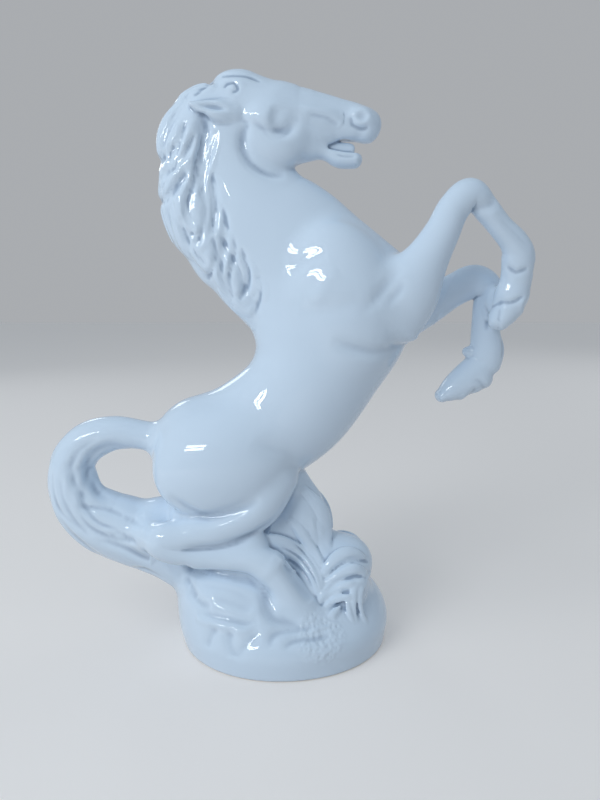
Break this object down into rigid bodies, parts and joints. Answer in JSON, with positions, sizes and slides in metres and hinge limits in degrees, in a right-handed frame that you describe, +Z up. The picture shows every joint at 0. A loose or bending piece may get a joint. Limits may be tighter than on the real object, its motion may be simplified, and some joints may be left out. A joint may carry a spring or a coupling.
{
  "type": "horse figurine",
  "caption": "White glazed porcelain figurine of a rearing horse on a grassy mound, its long tail looping down to the base, made as a shelf ornament.",
  "frame": {"origin": "on the table, under the middle of the overall bounding box", "axes": "+X from the tail to the raised forelegs, +Y from the horse's right side to its left, +Z up from the table"},
  "size_m": [0.2396, 0.0961, 0.2781],
  "materials": {
    "white_glaze": "clear glossy glaze over a white porcelain body"
  },
  "bodies": {
    "root": {"base_mound": "white_glaze", "grass_clump": "white_glaze", "torso": "white_glaze", "neck": "white_glaze", "head": "white_glaze", "right_foreleg": "white_glaze", "left_foreleg": "white_glaze", "right_hind_leg": "white_glaze", "left_hind_leg": "white_glaze", "tail": "white_glaze"}
  },
  "joints": []
}
